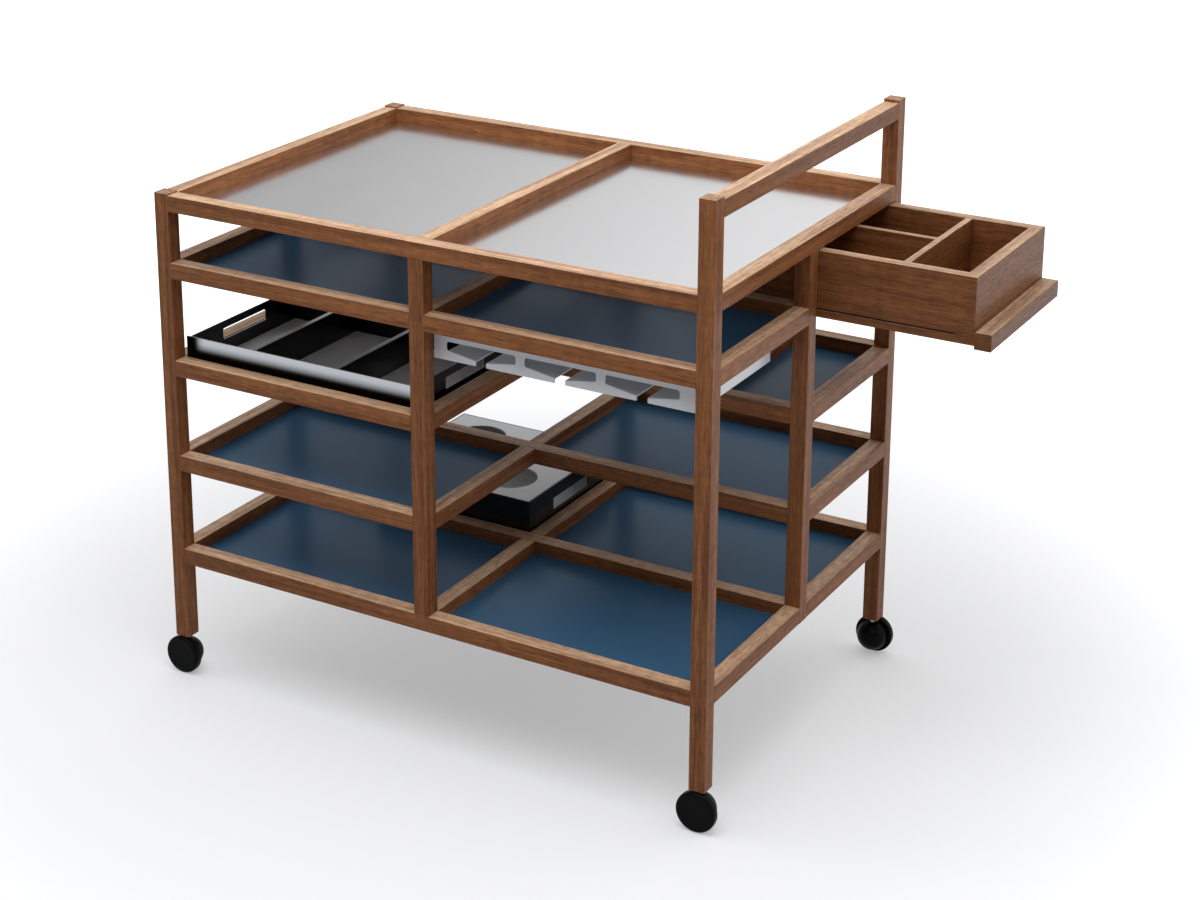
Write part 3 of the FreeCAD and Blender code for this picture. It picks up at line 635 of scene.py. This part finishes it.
def repeat_along_x(mesh, count, pitch, material):
    """Copies of a mesh in a row along X, made by a node tree."""
    tree = bpy.data.node_groups.new("row_along_x", "GeometryNodeTree")
    face = tree.interface
    face.new_socket("Piece", in_out="INPUT", socket_type="NodeSocketGeometry")
    count_in = face.new_socket("Count", in_out="INPUT", socket_type="NodeSocketInt")
    pitch_in = face.new_socket("Pitch", in_out="INPUT", socket_type="NodeSocketFloat")
    face.new_socket("Row", in_out="OUTPUT", socket_type="NodeSocketGeometry")
    given = add_node(tree, "NodeGroupInput").outputs
    step = add_node(tree, "ShaderNodeCombineXYZ", links={"X": given["Pitch"]})
    line = add_node(tree, "GeometryNodeMeshLine", links={
        "Count": given["Count"], "Offset": step.outputs[0]})
    copies = add_node(tree, "GeometryNodeInstanceOnPoints", links={
        "Points": line.outputs[0], "Instance": given["Piece"]})
    real = add_node(tree, "GeometryNodeRealizeInstances", links={0: copies.outputs[0]})
    dressed = add_node(tree, "GeometryNodeSetMaterial", values={"Material": material},
                       links={"Geometry": real.outputs[0]})
    result = add_node(tree, "NodeGroupOutput")
    tree.links.new(dressed.outputs[0], result.inputs["Row"])
    holder = bpy.data.objects.new("row", mesh)
    bpy.context.collection.objects.link(holder)
    modifier = holder.modifiers.new("row", "NODES")
    modifier.node_group = tree
    modifier[count_in.identifier] = count
    modifier[pitch_in.identifier] = pitch
    evaluated = holder.evaluated_get(bpy.context.evaluated_depsgraph_get())
    row = bpy.data.meshes.new_from_object(evaluated)
    bpy.data.objects.remove(holder)
    return row


print("rows repeat along X")

# %% [markdown]
# ## The tray
# A shallow steel tray: a front wall that stands past the sides, two side walls with hand slots,
# a back wall and a pale floor. The front wall carries a painted reflection: light grey along
# its rim, fading to black at its foot and its left end. It could be left to real reflections,
# but those move with the camera, and the painted fade stays.

# %% Tray
TRAY_SHEET = 1.5 * MM
TRAY_SIDE_INSET = 6 * MM
TRAY_SLOT = (103 * MM, 17 * MM, 22 * MM)     # length, height, rise above the underside
SLOT_CORNER = 3 * MM
FINE_EDGE = 0.2 * MM
RIM = 0.5                                    # a normal above this points along its axis
FOOT_FADE = (-24 * MM, -5 * MM)              # painted reflection: black to grey, from the rim
END_FADE = (8 * MM, 34 * MM)                 # and from the left end
# the two ends of the painted reflection
FOOT_BLACK, RIM_GREY = "#0c0c0c", "#999ca0"


def hand_slot(y, z, size):
    """The outline of a hand slot in a side wall, centred on y. z is the wall's underside."""
    length, height, rise = size
    return rectangle(y - length / 2, y + length / 2, z + rise, z + rise + height, SLOT_CORNER)


def steel_with_painted_reflection(rim, end):
    """A painted reflection: light grey along the rim, fading to black towards the foot and the
    left end.
    """
    material, tree, shader = new_material("painted_reflection_steel")
    uneven(tree, shader, grain=40, rough=(0.16, 0.2), depth=0.004)
    shader.inputs["Metallic"].default_value = 1.0
    where = add_node(tree, "ShaderNodeSeparateXYZ", links={
        "Vector": add_node(tree, "ShaderNodeTexCoord").outputs["Object"]})
    fades = [add_node(tree, "ShaderNodeMapRange", SOFT, span(edge + start, edge + finish),
                      {"Value": where.outputs[axis]}).outputs["Result"]
             for axis, edge, (start, finish) in (("Z", rim, FOOT_FADE), ("X", end, END_FADE))]
    bright = add_node(tree, "ShaderNodeMath", MULTIPLY, links={0: fades[0], 1: fades[1]})
    colour = add_node(tree, "ShaderNodeMix", ONE_COLOUR, {
        "A": linear(FOOT_BLACK), "B": linear(RIM_GREY)}, {"Factor": bright.outputs[0]})
    tree.links.new(colour.outputs["Result"], shader.inputs["Base Color"])
    return material


low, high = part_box("tray")
left, right = low[0] + TRAY_SIDE_INSET, high[0] - TRAY_SIDE_INSET
sheet = TRAY_SHEET
black = finishes["black_steel"]
# the front wall's outside has the painted reflection, its inside black lacquer
front_wall = plate([rectangle(low[0], high[0], low[2], high[2])], 1, low[1], sheet,
                   steel_with_painted_reflection(high[2], low[0]))
paint(front_wall, black, lambda at, n: n.y > RIM)
# painted highlight: the rim's upward face is bright bare steel
paint(front_wall, bare_edge_and_highlight, lambda at, n: n.z > RIM)
back_wall = plate([rectangle(left, right, low[2], high[2])], 1, high[1] - sheet, sheet,
                  dark_satin)
paint(back_wall, black, lambda at, n: n.y < -RIM)
walls = [front_wall, back_wall]
slot_y = (low[1] + high[1]) / 2
for x, inward, outside in ((left, 1, dark_satin), (right - sheet, -1, black)):
    wall = plate([rectangle(low[1] + sheet, high[1] - sheet, low[2], high[2]),
                  hand_slot(slot_y, low[2], TRAY_SLOT)], 0, x, sheet, outside)
    paint(wall, black, lambda at, n: n.x * inward > RIM)
    # painted highlight: the slot's upward cut face is bright bare steel
    paint(wall, bare_edge_and_highlight, lambda at, n: n.z > RIM and at.z < high[2] - SLOT_CORNER)
    walls.append(wall)
tray_floor = plate([rectangle(left + sheet, right - sheet, low[1] + sheet, high[1] - sheet)],
                   2, low[2], sheet, finishes["grey_plate"], FINE_EDGE)
show("tray_folded", "tray", walls + [tray_floor])

# %% [markdown]
# ## The tray's dividers
# Two strips folded to a channel, open below. A solid bar would look much the same from above,
# but the channel is one outline drawn along the tray's depth, which costs no more and is right
# from the end too. The fold on top has a wider radius than the cut edges, and its top face is
# bright steel, worn lacquer that also serves as a painted highlight.

# %% Tray dividers
DIVIDER_WIDTH = 8 * MM
DIVIDER_COUNT = 2
FOLD_OUTSIDE, FOLD_INSIDE = 1.2 * MM, 0.4 * MM
CHANNEL_EDGE = 0.1 * MM

low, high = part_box("tray_dividers")
pitch = (high[0] - low[0] - DIVIDER_WIDTH) / (DIVIDER_COUNT - 1)
near, far = low[0], low[0] + DIVIDER_WIDTH
top = high[2]
fold = softened([(near, low[2]), (near, top), (far, top), (far, low[2]),
                 (far - sheet, low[2]), (far - sheet, top - sheet),
                 (near + sheet, top - sheet), (near + sheet, low[2])],
                [FINE_EDGE, FOLD_OUTSIDE, FOLD_OUTSIDE, FINE_EDGE,
                 FINE_EDGE, FOLD_INSIDE, FOLD_INSIDE, FINE_EDGE])
divider = plate([fold], 1, low[1], high[1] - low[1], black, CHANNEL_EDGE)
dividers = repeat_along_x(divider, DIVIDER_COUNT, pitch, black)
# painted highlight: the top face of each fold is bright steel
paint(dividers, divider_top_and_highlight, lambda at, n: n.z > RIM and at.z > top - sheet)
show("tray_dividers_folded", "tray_dividers", [dividers])

# %% [markdown]
# ## The rack for stemmed glasses
# One pale front plate with three windows. Below each window a slot lets a stem in, between two
# lips that slope down to it, and sloping strips carry the feet of the glasses all the way back.
# Windows and slots open into each other, so the front could be a plate with three holes only if
# the slots were cut after. One outline that runs up and down through them all is simpler, and
# each kind of corner gets its own radius.

# %% The rack's front
RACK_SHEET = 1.5 * MM
SLOTS = 3
STEM_SLOT = 16 * MM
WINDOW_GAP, WINDOW_TOP = 14 * MM, 27 * MM
FIRST_WINDOW, LAST_WINDOW = 20.5 * MM, 23.5 * MM
LIP_AT_WEB, LIP_AT_SLOT = 14.5 * MM, 7 * MM
WINDOW_CORNER, WEB_CORNER, LIP_CORNER, PLATE_CORNER = 4 * MM, 2.5 * MM, 1.5 * MM, 0.5 * MM

low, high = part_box("stem_rack")
sheet = RACK_SHEET
window_pitch = (high[0] - LAST_WINDOW + WINDOW_GAP - low[0] - FIRST_WINDOW) / SLOTS
web_z, slot_z, window_z = low[2] + LIP_AT_WEB, low[2] + LIP_AT_SLOT, low[2] + WINDOW_TOP
windows = [(low[0] + FIRST_WINDOW + i * window_pitch,
            low[0] + FIRST_WINDOW + (i + 1) * window_pitch - WINDOW_GAP) for i in range(SLOTS)]
slots = [((a + b - STEM_SLOT) / 2, (a + b + STEM_SLOT) / 2) for a, b in windows]

corners = [(low[0], high[2]), (low[0], low[2])]
radii = [PLATE_CORNER, PLATE_CORNER]
for (a, b), (left, right) in zip(windows, slots):
    corners += [(left, low[2]), (left, slot_z), (a, web_z), (a, window_z),
                (b, window_z), (b, web_z), (right, slot_z), (right, low[2])]
    radii += [LIP_CORNER, LIP_CORNER, WEB_CORNER, WINDOW_CORNER,
              WINDOW_CORNER, WEB_CORNER, LIP_CORNER, LIP_CORNER]
corners += [(high[0], low[2]), (high[0], high[2])]
radii += [PLATE_CORNER, PLATE_CORNER]
rack_parts = [plate([softened(corners, radii)], 1, low[1], sheet, finishes["rack_grey"])]
print("rack windows", round(window_pitch / MM, 1), "mm apart")

# %% [markdown]
# Behind the front plate, each lip carries on as a bent strip. Two strips meet under a web as a
# trough, which repeats, and the outer two end at the sides. A top flange, a back and a right
# end close the rack.

# %% The rack's strips
STRIP_INSET = 3 * MM
STRIP_EDGE = 0.1 * MM


def run_back(points):
    """A strip that follows points, its sheet below them, from the front plate to the back."""
    under = [(x, z - sheet) for x, z in reversed(points)]
    return plate([softened(points + under, CUT_CORNER)], 1, low[1] + sheet,
                 high[1] - low[1] - 2 * sheet, rack_inside, STRIP_EDGE)


trough = run_back([(slots[0][1], slot_z), (windows[0][1], web_z),
                   (windows[1][0], web_z), (slots[1][0], slot_z)])
rack_parts += [
    run_back([(windows[0][0] + STRIP_INSET, web_z), (slots[0][0], slot_z)]),
    repeat_along_x(trough, SLOTS - 1, window_pitch, rack_inside),
    run_back([(slots[-1][1], slot_z), (windows[-1][1], web_z), (high[0] - sheet, web_z)]),
    plate([rectangle(low[0], high[0], low[1] + sheet, high[1] - sheet)], 2, high[2] - sheet,
          sheet, finishes["rack_grey"]),
    plate([rectangle(low[0], high[0], low[2], high[2])], 1, high[1] - sheet, sheet,
          finishes["rack_grey"]),
    plate([rectangle(low[1] + sheet, high[1] - sheet, low[2], high[2] - sheet)], 0,
          high[0] - sheet, sheet, rack_inside)]
show("stem_rack_folded", "stem_rack", rack_parts)

# %% [markdown]
# ## The box
# A black box with a hand slot at each end and a ledge inside, on which the plate lies. The
# inside is grey, which shows through the wells and the slots. It could be a shell made by
# thickening a bent face. Four walls, a floor and a ledge take as many lines, and each side of a
# wall can be given its own colour by the way it faces.

# %% Box
BOX_SHEET = 2 * MM
BOX_PLATE = 2 * MM
BOX_LEDGE = 8 * MM
BOX_SLOT = (107 * MM, 19 * MM, 27 * MM)
BOX_CORNER, LEDGE_CORNER = 0.6 * MM, 2 * MM

low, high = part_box("box_insert")
sheet = BOX_SHEET
box_parts = []
for y, inward in ((low[1], 1), (high[1] - sheet, -1)):
    wall = plate([rectangle(low[0], high[0], low[2], high[2], BOX_CORNER)], 1, y, sheet, black)
    box_parts.append(paint(wall, inside_grey, lambda at, n: n.y * inward > RIM))
slot_y = (low[1] + high[1]) / 2
for x, inward in ((low[0], 1), (high[0] - sheet, -1)):
    wall = plate([rectangle(low[1] + sheet, high[1] - sheet, low[2], high[2]),
                  hand_slot(slot_y, low[2], BOX_SLOT)], 0, x, sheet, black)
    box_parts.append(paint(wall, inside_grey, lambda at, n: n.x * inward > RIM))
inner = [low[0] + sheet, high[0] - sheet, low[1] + sheet, high[1] - sheet]
ledge = [inner[0] + BOX_LEDGE, inner[1] - BOX_LEDGE, inner[2] + BOX_LEDGE,
         inner[3] - BOX_LEDGE]
box_parts.append(plate([rectangle(*inner)], 2, low[2], sheet, inside_grey))
box_parts.append(plate([rectangle(*inner), rectangle(*ledge, LEDGE_CORNER)], 2,
                       high[2] - BOX_PLATE - sheet, sheet, inside_grey))
show("box_folded", "box_insert", box_parts)

# %% [markdown]
# ## The holed plate
# A grey plate with four round wells for jars, which lies in the box like a lid, a hair below
# the thin black rim. The wells' edges are the first thing one sees of it, so it is a piece of
# its own whose edges are eased more than those of the other sheets.

# %% Holed plate
HOLE_RADIUS = 42 * MM
HOLE_TO_END, HOLE_TO_SIDE = 30 * MM, 22.5 * MM
LID_CORNER, LID_EDGE = 1 * MM, 0.5 * MM

low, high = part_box("box_plate")
middle = [(low[i] + high[i]) / 2 for i in (0, 1)]
from_x = (high[0] - low[0]) / 2 - HOLE_TO_END - HOLE_RADIUS
from_y = (high[1] - low[1]) / 2 - HOLE_TO_SIDE - HOLE_RADIUS
holes = [circle(middle[0] + i * from_x, middle[1] + j * from_y, HOLE_RADIUS)
         for i in (-1, 1) for j in (-1, 1)]
lid = plate([rectangle(low[0], high[0], low[1], high[1], LID_CORNER)] + holes, 2, low[2],
            BOX_PLATE, lid_grey, LID_EDGE)
show("box_plate_pierced", "box_plate", [lid])

# %% [markdown]
# ## Turning round parts
# A wheel and a dome are round about their axle, so each is turned from a profile of (radius,
# depth) pairs, in which a depth grows from the stem's middle towards the wheel's face. A screw
# modifier could turn it. Setting the rings directly lets the profile's ends close in one point
# on the axle, so there is no seam and no pinhole.

# %% Turned parts
TURN_STEPS = 96
ARC_POINTS = 8
SHARP_ANGLE = math.radians(35)
ON_AXLE = 0.01                                # a smaller radius is the end of the profile


def arc(centre_radius, centre_depth, radius, start, end, steps=ARC_POINTS):
    """Points of an arc in a profile, from start to end in degrees from the outward radius."""
    turns = [math.radians(start + (end - start) * i / steps) for i in range(steps + 1)]
    return [(centre_radius + radius * math.cos(t), centre_depth + radius * math.sin(t))
            for t in turns]


def turned(profile, centre, side, material):
    """A round solid about an axle along Y. side is the way its depths grow, -1 or 1."""
    shape = bmesh.new()
    turns = [2 * math.pi * i / TURN_STEPS for i in range(TURN_STEPS)]
    rings = []
    for radius, depth in profile:
        y = centre[1] + side * depth * MM
        if radius < ON_AXLE:
            rings.append([shape.verts.new((centre[0], y, centre[2]))])
            continue
        rings.append([shape.verts.new((centre[0] + radius * MM * math.cos(t), y,
                                       centre[2] + radius * MM * math.sin(t))) for t in turns])
    for one, two in zip(rings, rings[1:]):
        for i in range(TURN_STEPS):
            corners = [one[i % len(one)], one[(i + 1) % len(one)],
                       two[(i + 1) % len(two)], two[i % len(two)]]
            shape.faces.new(list(dict.fromkeys(corners)))
    bmesh.ops.recalc_face_normals(shape, faces=shape.faces)
    mesh = bpy.data.meshes.new("turned")
    shape.to_mesh(mesh)
    shape.free()
    mesh.shade_smooth()
    mesh.set_sharp_from_angle(angle=SHARP_ANGLE)
    mesh.materials.append(material)
    return mesh


print("a quarter arc has", len(arc(0, 0, 1, 0, 90)), "points")

# %% [markdown]
# ## Castors
# Each castor is one flat wheel beside a domed housing, both moulded, so no corner is sharp. The
# wheel has a wide round shoulder outside, a small one inside and a very slightly hollow face.
# The axle could end at the dome's skin, but it runs into a bore there, as a real one does, and
# the wheel can roll without cutting through the dome.

# %% Castors
WHEEL_RADIUS = 29.5                           # all in mm
WHEEL_INNER, WHEEL_OUTER = 5.0, 16.8          # depths of the wheel's two faces
WHEEL_SHOULDER, WHEEL_EDGE = 4.0, 1.2
SHOULDER_POINTS, DOME_POINTS = 12, 32
FACE_DISH = 0.35
DISH_STARTS, DISH_DEEPEST = 4.0, 12.0         # inwards from the shoulder
AXLE_RADIUS, AXLE_END = 2.9, -16.0
AXLE_IN_WHEEL = 1.0
BORE_RADIUS, BORE_END = 3.4, -17.0            # the axle's hole in the dome
DOME_RADIUS, DOME_OFFSET, DOME_FLAT = 23.6, 1.0, 3.8
DOME_EDGE = 0.8

shoulder_at = WHEEL_RADIUS - WHEEL_SHOULDER
wheel_profile = [(0, WHEEL_INNER)]
wheel_profile += arc(WHEEL_RADIUS - WHEEL_EDGE, WHEEL_INNER + WHEEL_EDGE, WHEEL_EDGE, -90, 0)
wheel_profile += arc(shoulder_at, WHEEL_OUTER - WHEEL_SHOULDER, WHEEL_SHOULDER, 0, 90,
                     SHOULDER_POINTS)
wheel_profile += [(shoulder_at - DISH_STARTS, WHEEL_OUTER - FACE_DISH / 2),
                  (shoulder_at - DISH_DEEPEST, WHEEL_OUTER - FACE_DISH),
                  (0, WHEEL_OUTER - FACE_DISH)]
dome_profile = [(0, BORE_END), (BORE_RADIUS, BORE_END), (BORE_RADIUS, DOME_FLAT)]
dome_profile += arc(DOME_RADIUS - DOME_EDGE, DOME_FLAT - DOME_EDGE, DOME_EDGE, 90, 0)
dome_profile += arc(0, DOME_OFFSET, DOME_RADIUS, 0, -90, DOME_POINTS)[:-1]
dome_profile.append((0, DOME_OFFSET - DOME_RADIUS))
axle_inner_end = WHEEL_INNER + AXLE_IN_WHEEL
axle_profile = [(0, AXLE_END), (AXLE_RADIUS, AXLE_END), (AXLE_RADIUS, axle_inner_end),
                (0, axle_inner_end)]

for node in [name for name in frame["nodes"] if name.endswith("_wheel")]:
    corner = node[len("castor_"):-len("_wheel")]
    low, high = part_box("post_" + corner)
    hub = Vector(((low[0] + high[0]) / 2, (low[1] + high[1]) / 2, WHEEL_RADIUS * MM))
    side = math.copysign(1, hub.y)
    nylon = finishes["castor_black"]
    show(node + "_turned", node, [
        turned(wheel_profile, hub, side, nylon),
        turned(axle_profile, hub, side, finishes["bright_steel"])])
    show("castor_" + corner + "_dome", "castor_" + corner + "_housing", [
        turned(dome_profile, hub, side, nylon)])

# %% [markdown]
# ## Dressing the pieces
# Posts and uprights carry their grain upright, rails along their length, and the drawer's boards
# along their longer side, because wood is strong along its grain. Each direction could be
# written down by name, but the longest side of a piece gives it, except where two rails that
# lie apart are packed as one. Everything else takes the finish of its slot in the record.

# %% Give every piece its finish
slot_of = {entry["node"]: entry["material_slot"] for entry in frame["record"]["subparts"]}


def grain_axis(node):
    """The axis along which the piece is longest. Grouped rails lie as their name says."""
    if node.endswith("_long_rails"):
        return 0
    if node.endswith("_short_rails"):
        return 1
    low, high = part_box(node)
    spans = [high[i] - low[i] for i in range(3)]
    return spans.index(max(spans))


for node, piece in frame["nodes"].items():
    if slot_of[node] == "walnut":
        planks = shaded_drawer_walnut if node.startswith("drawer_") else walnut_by_axis
        material = planks[grain_axis(node)]
    else:
        material = finishes[slot_of[node]]
    piece.data.materials.clear()
    piece.data.materials.append(material)
print("dressed", len(frame["nodes"]), "pieces")

# %% [markdown]
# ## Finish
# Standard view keeps the colours as they were written.

# %% Finish
bpy.context.scene.view_settings.view_transform = "Standard"
